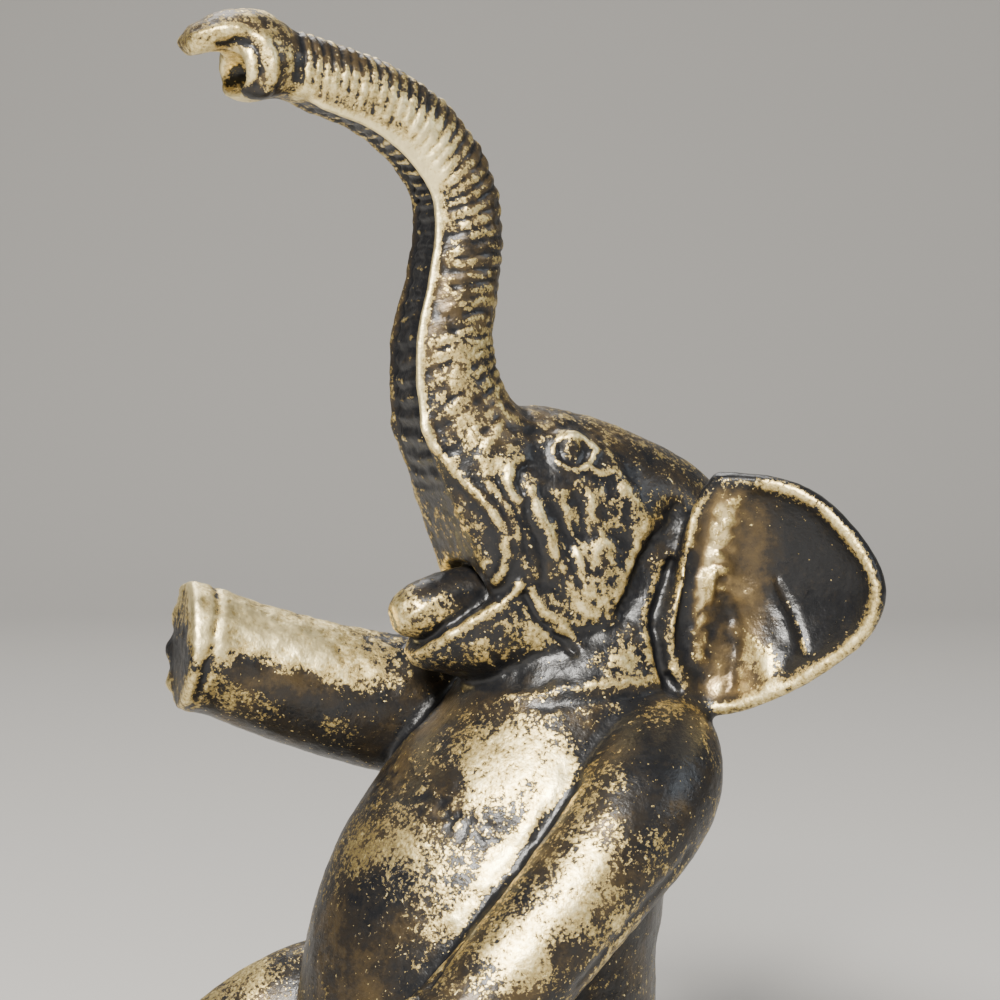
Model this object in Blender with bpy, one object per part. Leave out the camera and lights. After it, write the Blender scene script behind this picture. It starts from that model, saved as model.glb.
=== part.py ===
"""Seated elephant figurine with its trunk raised, cast in one piece with its low base.

The elephant faces -X and sits on its rump with its hind legs out in front. Its right foreleg is held
forward and its left one comes down over the belly onto the thigh. Metres, +Z up, the origin on the
underside of the base, in the middle of the whole figurine's length and width.
"""

import math

import bmesh
import bpy
import numpy as np
from mathutils import Matrix
from mathutils.bvhtree import BVHTree

FIGURE_HEIGHT = 0.178  # top of the base to the top of the raised trunk
BASE_HEIGHT = 0.008
BASE_LENGTH = 0.092
BASE_WIDTH = 0.084
BASE_AHEAD = 0.005  # how far the base's middle lies ahead of the rump's
BASE_SQUARENESS = 4.5  # exponent of its rounded outline, where 2 is an ellipse
BASE_EDGE_ROUND = 0.0018

# The body is a free form. Its stations are in shares of the figure's height, 178 to the whole,
# so that one share is a millimetre at the real size. Height counts from the top of the base.
SHARE = FIGURE_HEIGHT / 178.0

VOXEL = 0.65 * SHARE  # grain of the clay that the lumps are merged in
SOFTENING = 9  # smoothing passes over the merged clay
BODY_TRIANGLES = 8700

# A station is x, y, z, half width across the limb and half depth in the limb's own upright plane.
TORSO = (
    (4.5, 0, -1.5, 20.0, 20.0),
    (3.5, 0, 6.0, 25.5, 26.0),
    (3.6, 0, 20.0, 26.5, 27.6),
    (5.6, 0, 40.0, 25.3, 26.6),
    (10.4, 0, 53.0, 24.4, 24.2),
    (16.4, 0, 64.0, 22.6, 20.6),
    (20.0, 0, 72.0, 19.2, 18.6),
    (22.5, 0, 78.5, 16.8, 16.6),
    (26.6, 0, 86.0, 14.6, 13.8),
    (30.0, 0, 95.0, 12.6, 12.0),
    (31.5, 0, 101.0, 8.0, 8.0),
)
SKULL = (
    (4.5, 0, 109.0, 9.5, 11.4),
    (11.0, 0, 107.8, 12.4, 13.4),
    (20.0, 0, 105.3, 13.4, 14.0),
    (28.0, 0, 102.6, 13.2, 13.6),
    (35.0, 0, 99.8, 12.2, 12.8),
    (40.0, 0, 97.6, 9.6, 10.6),
    (43.6, 0, 96.0, 5.4, 6.4),
    (44.8, 0, 95.4, 1.6, 2.0),
)
JAW = (
    (-6.8, 0, 84.2, 1.4, 1.2),
    (-4.4, 0, 84.8, 4.6, 3.4),
    (-1.0, 0, 86.3, 7.6, 6.3),
    (3.0, 0, 87.9, 9.6, 9.1),
    (8.0, 0, 90.2, 11.4, 11.9),
    (14.0, 0, 91.4, 12.6, 12.4),
    (22.0, 0, 92.0, 12.4, 12.4),
    (30.0, 0, 93.0, 10.5, 11.0),
)
JAW_FLAT = 0.42  # how far out the flat top of the jaw lies, of its half depth
MOUTH = ((-1.6, 0, 93.5), (9.8, 7.6, 4.8))  # middle and half sizes of the hollow that the tongue lies in
TONGUE = (
    (9.0, 0, 93.6, 5.0, 3.4),
    (2.0, 0, 92.8, 5.4, 4.1),
    (-3.0, 0, 91.4, 5.2, 4.3),
    (-6.8, 0, 90.3, 4.4, 3.9),
    (-9.2, 0, 89.8, 2.2, 2.2),
)
TRUNK = (
    (13.6, 0, 92.6, 11.6, 12.4),
    (11.2, 0, 98.5, 12.6, 12.8),
    (8.2, 0, 105.0, 12.6, 12.2),
    (4.2, 0, 112.0, 11.2, 11.0),
    (0.6, 0, 118.5, 9.0, 9.4),
    (-1.0, 0, 125.0, 8.0, 8.4),
    (-1.3, 0, 131.5, 7.7, 7.6),
    (0.2, 0, 139.0, 7.2, 7.1),
    (1.2, 0, 147.0, 6.8, 6.8),
    (0.0, 0, 154.0, 6.5, 6.5),
    (-4.5, 0, 160.4, 6.3, 6.3),
    (-11.2, 0, 165.3, 6.1, 6.0),
    (-18.5, 0, 168.0, 5.9, 5.8),
    (-24.0, 0, 169.6, 5.7, 5.8),
    (-27.6, 0, 170.3, 6.0, 6.4),
    (-30.6, 0, 170.7, 6.7, 7.4),
    (-32.9, 0, 170.9, 6.4, 7.0),
    (-34.2, 0, 171.0, 5.4, 5.8),
)
TRUNK_FLAT = 0.75  # how far out the trunk's flat underside lies, of its half depth
TRUNK_EDGE_LOW = (  # where the ridge along that edge runs from the mouth's corner up over the cheek
    (2.7, 10.0, 95.6),
    (4.0, 11.0, 98.5),
    (3.6, 11.0, 102.7),
    (1.7, 10.5, 106.5),
    (-2.4, 9.0, 110.9),
    (-5.7, 7.1, 115.4),
)
TRUNK_FINGER = (
    (-28.0, 0, 173.6, 4.4, 3.0),
    (-33.0, 0, 175.3, 5.6, 2.9),
    (-37.0, 0, 174.4, 5.2, 2.7),
    (-39.4, 0, 172.9, 4.0, 2.4),
    (-40.8, 0, 171.7, 2.0, 1.4),
)
NOSTRIL = ((-34.8, 0, 169.2), (5.8, 4.7, 3.1))  # middle and half sizes of the hollow in the tip
LEFT_FORELEG = (
    (27.0, -3.0, 72.5, 7.0, 7.0),
    (28.2, -12.0, 70.2, 9.0, 9.0),
    (24.6, -18.6, 66.3, 10.0, 10.4),
    (18.6, -23.6, 61.4, 9.8, 10.4),
    (11.3, -26.0, 54.6, 9.0, 9.5),
    (3.0, -27.0, 46.5, 8.7, 9.0),
    (-5.6, -27.0, 37.8, 8.6, 8.8),
    (-11.5, -27.0, 31.5, 9.3, 9.4),
    (-14.2, -27.0, 28.6, 9.0, 9.2),
)
RIGHT_FORELEG = (
    (22.0, 1.0, 68.0, 8.0, 8.0),
    (21.0, 11.0, 69.6, 10.6, 10.6),
    (14.0, 18.6, 71.0, 11.4, 11.3),
    (5.0, 21.5, 72.8, 10.9, 11.2),
    (-6.0, 23.5, 75.2, 10.2, 10.5),
    (-18.0, 25.5, 79.0, 9.6, 9.9),
    (-26.0, 26.8, 82.0, 9.2, 9.5),
    (-30.5, 27.4, 83.5, 9.6, 10.0),
    (-32.8, 27.8, 83.8, 9.3, 9.7),
)
HIND_LEG = (
    (14.0, 7.0, 15.0, 9.0, 10.0),
    (4.0, 18.0, 17.5, 13.0, 18.0),
    (-8.0, 24.0, 18.4, 12.2, 19.0),
    (-17.0, 26.3, 16.6, 11.4, 17.6),
    (-27.0, 27.3, 13.6, 10.4, 14.6),
    (-36.0, 27.6, 11.2, 10.2, 11.6),
    (-42.5, 27.6, 10.6, 10.6, 11.0),
    (-45.0, 27.6, 10.4, 9.8, 10.2),
)
LEFT_THIGH_LOW = 0.76  # how high the left hind leg lies, of the right one's height
TAIL = (
    (26.0, 0, 37.0, 2.6, 2.6),
    (31.0, 0, 24.0, 2.3, 2.3),
    (31.4, 1.5, 11.0, 2.2, 2.2),
    (30.0, 8.0, 2.4, 2.4, 2.4),
    (25.5, 16.0, 1.6, 3.2, 2.8),
    (22.0, 21.0, 0.8, 1.4, 1.4),
)

EAR_ROOT = (33.2, 15.2, 97.8)  # on the right side; the left ear is its mirror image
EAR_SWEEP = math.radians(45)  # how far back the ear lies from straight out sideways
EAR_BEND = 1.5  # how far out the part ends that lies forward along the neck
EAR_OUTLINE = (  # out along the ear, and up
    (3.0, 13.4),
    (12.0, 13.0),
    (19.0, 10.4),
    (25.3, 4.5),
    (29.0, -2.6),
    (27.2, -9.6),
    (20.5, -15.6),
    (11.6, -20.6),
    (3.0, -23.0),
    (-3.2, -19.5),
    (-5.0, -11.5),
    (-3.0, -2.5),
    (-0.8, 7.0),
)
EAR_MIDDLE = (11.0, -3.5)
EAR_THICKNESS = 3.3
EAR_DISH = 4.2  # how deep the bowl of the ear is
EAR_RIM = 0.9  # how far its rolled rim stands up

EYE = (14.8, 9.1, 114.6)
EYE_RADIUS = 2.6
CHEEK = ((19.0, 8.6, 96.0), (9.0, 5.4, 11.0))
MOUTH_CORNER = ((7.6, 9.0, 95.8), (3.4, 2.6, 2.8))

RING_PITCH = (2.0, 2.9)  # between the trunk's rings, at the tip and at the root
RING_DEPTH = 0.42


def through(rows, steps):
    """The rows joined by a smooth Catmull-Rom curve, with this many steps to a span."""
    rows = np.array(rows, float)
    padded = np.vstack([2 * rows[0] - rows[1], rows, 2 * rows[-1] - rows[-2]])
    made = []
    for before, start, end, after in zip(padded, padded[1:], padded[2:], padded[3:]):
        for t in np.arange(steps) / steps:
            bend = (2 * before - 5 * start + 4 * end - after) * t**2
            twist = (3 * start - before - 3 * end + after) * t**3
            made.append((2 * start + (end - before) * t + bend + twist) / 2)
    made.append(rows[-1])
    return np.array(made)


def frames(spine):
    """The directions along the spine, across it and out of its inner side, for each of its rows."""
    along = np.gradient(spine[:, :3], axis=0)
    along /= np.linalg.norm(along, axis=1)[:, None]
    across = np.array([0, 1, 0]) - along * along[:, 1:2]
    across /= np.linalg.norm(across, axis=1)[:, None]
    return along, across, np.cross(along, across)


def skin(clay, rings):
    """Closes a stack of rings of points, all of one count, into a tube with flat ends."""
    rows = [[clay.verts.new(point) for point in ring] for ring in rings]
    count = len(rows[0])
    for low, high in zip(rows, rows[1:]):
        for k in range(count):
            n = (k + 1) % count
            clay.faces.new((low[k], low[n], high[n], high[k]))
    clay.faces.new(rows[0][::-1])
    clay.faces.new(rows[-1])


def limb(clay, stations, sides=64, flat=1.0):
    """Oval rings along a smooth spine, cut flat on the inner side at this share of the half depth."""
    spine = through(stations, 6)
    turn = np.arange(sides) * 2 * math.pi / sides
    rings = []
    for row, _, across, inner in zip(spine, *frames(spine)):
        out = np.outer(np.cos(turn) * row[3], across)
        lift = np.outer(np.minimum(np.sin(turn), flat) * row[4], inner)
        rings.append(row[:3] + out + lift)
    skin(clay, rings)


def ball(clay, middle, radii):
    """An ellipsoid lump."""
    where = Matrix.Translation(middle) @ Matrix.Diagonal((*radii, 1))
    bmesh.ops.create_icosphere(clay, subdivisions=4, radius=1, matrix=where)


def on_ear(side, places, lift):
    """Points of one ear, from places out along it and up, at this lift from its middle plane."""
    u, v = np.array(places, float).T
    out = np.maximum(u - EAR_BEND, 0)
    sweep = EAR_SWEEP * np.clip((u + 4) / (EAR_BEND + 4), 0.1, 1)
    x = np.minimum(u, EAR_BEND) * 0.97 + out * math.cos(EAR_SWEEP) - lift * np.sin(sweep)
    y = np.minimum(u, EAR_BEND) * 0.24 + out * math.sin(EAR_SWEEP) + lift * np.cos(sweep)
    x, y, z = np.array(EAR_ROOT)[:, None] + (x, y, v)
    return np.column_stack([x, side * y, z])


def ear_front(share):
    """How far the front of the ear stands out, at this share of the way from its middle to its edge."""
    rim = EAR_RIM * np.exp(-(((share - 0.92) / 0.06) ** 2))
    return EAR_THICKNESS / 2 + EAR_DISH * (share**2 - 1) + rim


def ear(clay, side):
    """A dished leaf with a rolled rim."""
    outline = through((*EAR_OUTLINE, EAR_OUTLINE[0]), 5)[:-1]
    middle = np.array(EAR_MIDDLE)
    shares = (0.12, 0.3, 0.5, 0.66, 0.78, 0.85, 0.9, 0.94, 0.975)
    sheet = [on_ear(side, middle + (outline - middle) * s, ear_front(s)) for s in shares]
    for edge in (0.2, -0.2):
        sheet.append(on_ear(side, outline, edge * EAR_THICKNESS))
    for s in reversed(shares):
        back = -EAR_THICKNESS / 2 + EAR_DISH * (s**2 - 1)
        sheet.append(on_ear(side, middle + (outline - middle) * s, back))
    skin(clay, sheet)


def clay_figure():
    """Every lump of the figure in one mesh, still overlapping, in shares."""
    clay = bmesh.new()
    limb(clay, TORSO)
    limb(clay, SKULL)
    limb(clay, JAW, flat=JAW_FLAT)
    limb(clay, TRUNK, flat=TRUNK_FLAT)
    limb(clay, TRUNK_FINGER)
    limb(clay, LEFT_FORELEG)
    limb(clay, RIGHT_FORELEG)
    limb(clay, HIND_LEG)
    low = LEFT_THIGH_LOW
    limb(clay, [(x, -y, z * low, a, b * low) for x, y, z, a, b in HIND_LEG])
    limb(clay, TAIL)
    for side in (1, -1):
        ear(clay, side)
        ball(clay, np.array(EYE) * (1, side, 1), [EYE_RADIUS] * 3)
        for middle, radii in (CHEEK, MOUTH_CORNER):
            ball(clay, np.array(middle) * (1, side, 1), radii)
    bmesh.ops.recalc_face_normals(clay, faces=clay.faces)
    return clay


def helper(name, clay):
    """An unseen object made from the clay, in metres above the base."""
    bmesh.ops.scale(clay, vec=(SHARE, SHARE, SHARE), verts=clay.verts)
    bmesh.ops.translate(clay, vec=(0, 0, BASE_HEIGHT), verts=clay.verts)
    mesh = bpy.data.meshes.new(name)
    clay.to_mesh(mesh)
    clay.free()
    made = bpy.data.objects.new(name, mesh)
    bpy.context.scene.collection.objects.link(made)
    made.hide_render = True
    made.display_type = "WIRE"
    return made


def merged_mesh():
    """The lumps as one softened skin, with the nostril and the mouth hollowed out."""
    lumps = helper("lumps", clay_figure())
    hollows = bmesh.new()
    ball(hollows, *NOSTRIL)
    ball(hollows, *MOUTH)
    hollows = helper("hollows", hollows)
    tongue = bmesh.new()
    limb(tongue, TONGUE)
    bmesh.ops.recalc_face_normals(tongue, faces=tongue.faces)
    tongue = helper("tongue", tongue)
    for step in ("merge", "hollow_out", "add_tongue", "merge_again"):
        if step.startswith("merge"):
            merge = lumps.modifiers.new(step, "REMESH")
            merge.mode = "VOXEL"
            merge.voxel_size = VOXEL
            continue
        change = lumps.modifiers.new(step, "BOOLEAN")
        change.operation = "UNION" if step == "add_tongue" else "DIFFERENCE"
        change.solver = "EXACT"
        change.object = tongue if step == "add_tongue" else hollows
    soften = lumps.modifiers.new("soften", "SMOOTH")
    soften.factor = 0.5
    soften.iterations = SOFTENING
    graph = bpy.context.evaluated_depsgraph_get()
    mesh = bpy.data.meshes.new_from_object(lumps.evaluated_get(graph))
    for used in (lumps, hollows, tongue):
        bpy.data.objects.remove(used)
    return mesh


def distance(points, path):
    """How far each point is from the path."""
    best = np.full(len(points), np.inf)
    for start, end in zip(path, path[1:]):
        span = end - start
        t = np.clip((points - start) @ span / max(span @ span, 1e-9), 0, 1)
        best = np.minimum(best, np.linalg.norm(points - start - np.outer(t, span), axis=1))
    return best


def rings(points, normals):
    """The trunk's rings, deepest on its back and sides and faint on its flat underside."""
    spine = through(TRUNK, 8)
    _, _, inner = frames(spine)
    reach = np.concatenate([[0], np.cumsum(np.linalg.norm(np.diff(spine[:, :3], axis=0), axis=1))])
    apart = ((points[:, None, :] - spine[None, :, :3]) ** 2).sum(axis=2)
    best = apart.min(axis=1)
    weight = np.exp((best[:, None] - apart) / 3.0)
    weight /= weight.sum(axis=1)[:, None]
    s = weight @ reach
    share = s / reach[-1]
    fade = np.clip((share - 0.2) / 0.12, 0, 1) * np.clip((0.93 - share) / 0.03, 0, 1)
    fade *= np.clip((1.5 - np.sqrt(best) / (weight @ spine[:, 4])) / 0.3, 0, 1)
    under = (normals * (weight @ inner)).sum(axis=1)
    fade *= 1 - 0.65 * np.clip((under - 0.3) / 0.5, 0, 1)
    tip, root = RING_PITCH
    turns = s / (root + (tip - root) * share)
    return -RING_DEPTH * fade * (1 - np.abs(np.sin(math.pi * turns)) ** 0.8)


def trunk_edge(side):
    """The ridge along one edge of the trunk's flat underside, from the corner of the mouth up."""
    spine = through(TRUNK[4:], 3)
    _, across, inner = frames(spine)
    out = side * math.sqrt(1 - TRUNK_FLAT**2) * spine[:, 3:4] * across
    edge = spine[:, :3] + out + TRUNK_FLAT * spine[:, 4:5] * inner
    return np.vstack([np.array(TRUNK_EDGE_LOW) * (1, side, 1), edge[2:-6]])


def strokes():
    """Each stroke of the modelling tool: how far it raises the clay, how wide it is, and its path."""
    made = []
    lip = ((-5.6, 2.4, 85.4), (-3.2, 5.4, 87.4), (0.9, 8.2, 90.2), (5.6, 10.4, 93.0), (8.0, 11.2, 95.0))
    brow = ((10.6, 10.6, 117.6), (14.6, 10.4, 118.6), (18.4, 10.8, 117.0), (20.6, 11.6, 114.4))
    turn = np.linspace(0, 2 * math.pi, 13)
    lids = np.column_stack([14.8 + 3.3 * np.cos(turn), 11.4 - 0.6 * np.sin(turn), 114.6 + 2.5 * np.sin(turn)])
    cheek_arc = ((21.0, 13.0, 112.0), (24.6, 13.6, 107.0), (25.4, 13.8, 102.0), (22.6, 14.0, 96.2))
    nape = ((31.0, 13.2, 106.0), (28.5, 13.4, 100.0), (25.5, 13.4, 94.0), (22.5, 13.2, 87.0))
    collar = ((5.5, 10.7, 79.0), (11.2, 14.3, 79.8), (19.0, 15.8, 80.4), (27.0, 15.6, 80.0))
    for side in (1, -1):
        flip = np.array((1, side, 1))
        made.append((0.75, 0.8, trunk_edge(side)))
        for height, width, path in (
            (0.9, 0.8, lip),
            (-0.8, 0.9, ((8.4, 12.0, 93.6), (12.4, 12.8, 89.2), (16.5, 12.6, 85.0))),
            (0.6, 1.0, brow),
            (0.6, 0.6, lids),
            (0.7, 1.5, cheek_arc),
            (-0.9, 1.5, nape),
            (0.45, 1.3, ((9.2, 11.4, 110.0), (11.0, 12.2, 105.0), (13.0, 13.0, 99.0), (13.4, 13.0, 94.0))),
            (-0.5, 1.3, ((7.0, 11.6, 110.0), (8.6, 12.4, 104.0), (10.2, 12.8, 98.0))),
            (0.5, 1.0, collar),
            (0.5, 0.6, ((1.0, 4.6, 93.8), (-2.6, 5.0, 90.6), (-5.6, 4.4, 88.2))),
        ):
            made.append((height, width, np.array(path) * flip))
        for height, width, path in (
            (1.9, 2.0, ((4.2, 7.5), (3.6, 2.0), (2.4, -4.0))),
            (1.3, 1.8, ((2.4, -4.0), (1.8, -9.0), (1.8, -14.0))),
            (-0.8, 1.2, ((-0.6, 1.0), (-1.4, -6.0), (-1.8, -12.0))),
            (0.8, 1.4, ((3.1, -0.8), (6.4, -4.4))),
            (-1.2, 1.2, ((5.4, -8.0), (5.4, -14.0), (5.2, -19.0))),
            (0.9, 1.2, ((12.0, -3.0), (14.5, -7.3), (16.5, -12.0))),
            (0.8, 1.6, ((8.6, -12.0), (10.6, -16.0))),
        ):
            made.append((height, width, on_ear(side, path, EAR_THICKNESS / 2)))
    made.append((-0.7, 3.6, ((-9.0, 6.0, 67.0), (-5.0, -6.0, 63.0), (0.0, -14.0, 58.0))))
    made.append((0.8, 1.5, ((-3.0, -22.0, 51.0), (-9.0, -21.5, 45.0), (-16.0, -19.0, 37.0))))
    return made


def toes(stations, facing, count=4, spread=0.75, height=0.9, width=1.9):
    """Toenails: bumps round the end of a leg, on the side that it turns towards the given direction."""
    spine = through(stations, 6)
    along, across, inner = (part[-9] for part in frames(spine))
    x, y, z, wide, deep = spine[-9]
    start = math.atan2(np.dot(facing, inner), np.dot(facing, across))
    made = []
    for k in range(count):
        turn = start + spread * (k - (count - 1) / 2)
        spot = (x, y, z) + across * math.cos(turn) * wide + inner * math.sin(turn) * deep
        made.append((height, width, np.array([spot, spot + along * 2.4])))
    return made


def carved(mesh):
    """The merged mesh with every stroke cut or raised in it."""
    count = len(mesh.vertices)
    points = np.empty(count * 3)
    mesh.vertices.foreach_get("co", points)
    points = (points.reshape(-1, 3) - (0, 0, BASE_HEIGHT)) / SHARE
    normals = np.empty(count * 3)
    mesh.vertex_normals.foreach_get("vector", normals)
    normals = normals.reshape(-1, 3)
    faces = [list(face.vertices) for face in mesh.polygons]
    surface = BVHTree.FromPolygons(points.tolist(), faces)
    lift = np.zeros(count)
    high = points[:, 2] > TRUNK[2][2]
    lift[high] = rings(points[high], normals[high])
    low = LEFT_THIGH_LOW
    left_hind = [(x, -y, z * low, a, b * low) for x, y, z, a, b in HIND_LEG]
    nails = toes(RIGHT_FORELEG, (0, 1, 0.15)) + toes(LEFT_FORELEG, (-1, -0.3, 0.6))
    nails += toes(HIND_LEG, (0, 0, 1)) + toes(left_hind, (0, 0, 1))
    for height, width, path in strokes() + nails:
        path = through(np.array([surface.find_nearest(spot)[0] for spot in path]), 3)
        path = np.array([surface.find_nearest(spot)[0] for spot in path])
        lift += height * np.exp(-((distance(points, path) / width) ** 2))
    points += normals * lift[:, None]
    points = points * SHARE + (0, 0, BASE_HEIGHT)
    mesh.vertices.foreach_set("co", points.ravel())
    mesh.update()
    return mesh


def base_object():
    """The low base, a rounded oblong with its edges softened."""
    shape = bmesh.new()
    bmesh.ops.create_cone(shape, cap_ends=True, segments=72, radius1=1, radius2=1, depth=BASE_HEIGHT)
    for vert in shape.verts:
        x, y = abs(vert.co.x), abs(vert.co.y)
        swell = (x**BASE_SQUARENESS + y**BASE_SQUARENESS) ** (-1 / BASE_SQUARENESS)
        vert.co.x *= swell * BASE_LENGTH / 2
        vert.co.y *= swell * BASE_WIDTH / 2
    bmesh.ops.translate(shape, vec=(-BASE_AHEAD, 0, BASE_HEIGHT / 2), verts=shape.verts)
    level = [e for e in shape.edges if abs(e.verts[0].co.z - e.verts[1].co.z) < 1e-6]
    bmesh.ops.bevel(shape, geom=level, offset=BASE_EDGE_ROUND, segments=3, affect="EDGES", profile=0.5)
    mesh = bpy.data.meshes.new("base_shape")
    shape.to_mesh(mesh)
    shape.free()
    made = bpy.data.objects.new("base_shape", mesh)
    bpy.context.scene.collection.objects.link(made)
    made.hide_render = True
    made.display_type = "WIRE"
    return made


def brass(name):
    """Old brass, dark with age and rubbed pale where it is touched."""
    made = bpy.data.materials.new(name)
    made.use_nodes = True
    shader = made.node_tree.nodes["Principled BSDF"]
    shader.inputs["Base Color"].default_value = (0.42, 0.34, 0.19, 1)
    shader.inputs["Metallic"].default_value = 1
    shader.inputs["Roughness"].default_value = 0.36
    return made


def elephant():
    """The casting: the figure and its base as one body."""
    made = bpy.data.objects.new("elephant", carved(merged_mesh()))
    bpy.context.scene.collection.objects.link(made)
    base = base_object()
    triangles = sum(len(face.vertices) - 2 for face in made.data.polygons)
    thin = made.modifiers.new("thin_out", "DECIMATE")
    thin.ratio = BODY_TRIANGLES / triangles
    join = made.modifiers.new("cast_on_base", "BOOLEAN")
    join.operation = "UNION"
    join.solver = "EXACT"
    join.object = base
    made.data.polygons.foreach_set("use_smooth", [True] * len(made.data.polygons))
    made.data.materials.append(brass("aged_brass"))

    corners = np.array([vert.co for mesh in (made.data, base.data) for vert in mesh.vertices])
    middle = (corners.min(axis=0) + corners.max(axis=0)) / 2
    for mesh in (made.data, base.data):
        mesh.transform(Matrix.Translation((-middle[0], -middle[1], 0)))


for old in list(bpy.data.objects):
    bpy.data.objects.remove(old)
elephant()
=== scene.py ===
"""Seated cast-metal elephant with its trunk raised, on a low base. Metres, +Z up, it faces -X."""

import math

import bmesh
import bpy
import numpy as np
from mathutils import Matrix, Vector, noise
from mathutils.bvhtree import BVHTree


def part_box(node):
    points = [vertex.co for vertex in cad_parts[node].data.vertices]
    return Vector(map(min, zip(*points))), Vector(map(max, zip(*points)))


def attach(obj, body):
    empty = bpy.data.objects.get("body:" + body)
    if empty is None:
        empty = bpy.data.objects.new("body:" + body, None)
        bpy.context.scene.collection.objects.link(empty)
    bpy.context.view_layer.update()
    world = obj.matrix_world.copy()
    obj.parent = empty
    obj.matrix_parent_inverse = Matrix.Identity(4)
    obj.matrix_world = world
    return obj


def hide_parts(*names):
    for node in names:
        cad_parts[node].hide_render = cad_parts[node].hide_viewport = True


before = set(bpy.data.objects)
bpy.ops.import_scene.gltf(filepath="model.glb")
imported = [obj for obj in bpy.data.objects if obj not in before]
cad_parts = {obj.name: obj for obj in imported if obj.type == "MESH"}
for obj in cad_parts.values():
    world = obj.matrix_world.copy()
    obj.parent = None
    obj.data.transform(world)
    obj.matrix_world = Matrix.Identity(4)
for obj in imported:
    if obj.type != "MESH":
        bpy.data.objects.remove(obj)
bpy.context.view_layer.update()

# ---------------------------------------------------------------------------------------------
# The room: a plain pale floor that curves up behind, a small bright light high in front on the
# left, weak ones on the right and behind, and a camera a little above the middle of the figure, in
# front of its left side.

FLOOR_REACH = 6.0
FLOOR_BACK = 0.9
FLOOR_BEND = 0.4
BEND_STEPS = 8
WALL_TOP = 2.4
CAMERA_TURN, CAMERA_RISE = -25, 4  # in degrees, as for the lights
CAMERA_DISTANCE = 0.45
CAMERA_TARGET = (0.0063, 0, 0.1148)
LIGHTS_TARGET = (0, 0, 0.1)

floor_shape = bmesh.new()
floor_rows = []
for x in (-FLOOR_REACH, FLOOR_REACH):
    row = [(x, -FLOOR_REACH, 0), (x, FLOOR_BACK, 0)]
    for k in range(1, BEND_STEPS + 1):
        turn = math.radians(k * 90 / BEND_STEPS)
        row.append((x, FLOOR_BACK + FLOOR_BEND * math.sin(turn), FLOOR_BEND - FLOOR_BEND * math.cos(turn)))
    row.append((x, FLOOR_BACK + FLOOR_BEND, WALL_TOP))
    floor_rows.append([floor_shape.verts.new(point) for point in row])
for k in range(len(floor_rows[0]) - 1):
    left, right = floor_rows
    floor_shape.faces.new((left[k], right[k], right[k + 1], left[k + 1]))
floor_mesh = bpy.data.meshes.new("studio_floor")
floor_shape.to_mesh(floor_mesh)
floor_shape.free()
floor_mesh.polygons.foreach_set("use_smooth", [True] * len(floor_mesh.polygons))
floor = bpy.data.objects.new("studio_floor", floor_mesh)
floor.rotation_euler = (0, 0, math.radians(CAMERA_TURN))
bpy.context.scene.collection.objects.link(floor)
paint = bpy.data.materials.new("pale_floor")
paint.use_nodes = True
floor_shader = paint.node_tree.nodes["Principled BSDF"]
floor_shader.inputs["Base Color"].default_value = (0.42, 0.41, 0.395, 1)
floor_shader.inputs["Roughness"].default_value = 0.85
floor.data.materials.append(paint)


def aimed(thing, target, azimuth, elevation, distance):
    """Stands a light or the camera off from its target, facing it."""
    a, e = math.radians(azimuth), math.radians(elevation)
    away = Vector((math.sin(a) * math.cos(e), -math.cos(a) * math.cos(e), math.sin(e)))
    thing.location = Vector(target) + away * distance
    thing.rotation_euler = away.to_track_quat("Z", "Y").to_euler()
    bpy.context.scene.collection.objects.link(thing)


def studio_light(name, azimuth, elevation, distance, size, power, color):
    """A square light, this many metres wide, that faces the figure."""
    lamp = bpy.data.lights.new(name, "AREA")
    lamp.energy = power
    lamp.size = size
    lamp.color = color
    aimed(bpy.data.objects.new(name, lamp), LIGHTS_TARGET, azimuth, elevation, distance)


studio_light("key_light", -38, 38, 0.9, 0.22, 31, (1.0, 0.965, 0.90))
studio_light("fill_light", 58, 24, 1.1, 0.4, 3, (0.85, 0.93, 1.0))
studio_light("back_light", 165, 50, 1.1, 0.5, 7, (1.0, 0.98, 0.95))
world = bpy.data.worlds.new("soft_room")
world.use_nodes = True
world.node_tree.nodes["Background"].inputs["Color"].default_value = (1.0, 0.97, 0.93, 1)
world.node_tree.nodes["Background"].inputs["Strength"].default_value = 0.11
bpy.context.scene.world = world

lens = bpy.data.cameras.new("camera")
lens.lens = 108
lens.sensor_width = 36
lens.clip_start = 0.01
camera = bpy.data.objects.new("camera", lens)
aimed(camera, CAMERA_TARGET, CAMERA_TURN, CAMERA_RISE, CAMERA_DISTANCE)
bpy.context.scene.camera = camera

# ---------------------------------------------------------------------------------------------
# The casting: the whole elephant and its low base, poured in one as a hollow brass shell from a
# figure modelled in clay. The rings, folds and nails were drawn in the clay with a tool. The brass
# is dark with a glossy brown-black patina, rubbed through to pale gold wherever it stands out.

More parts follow.
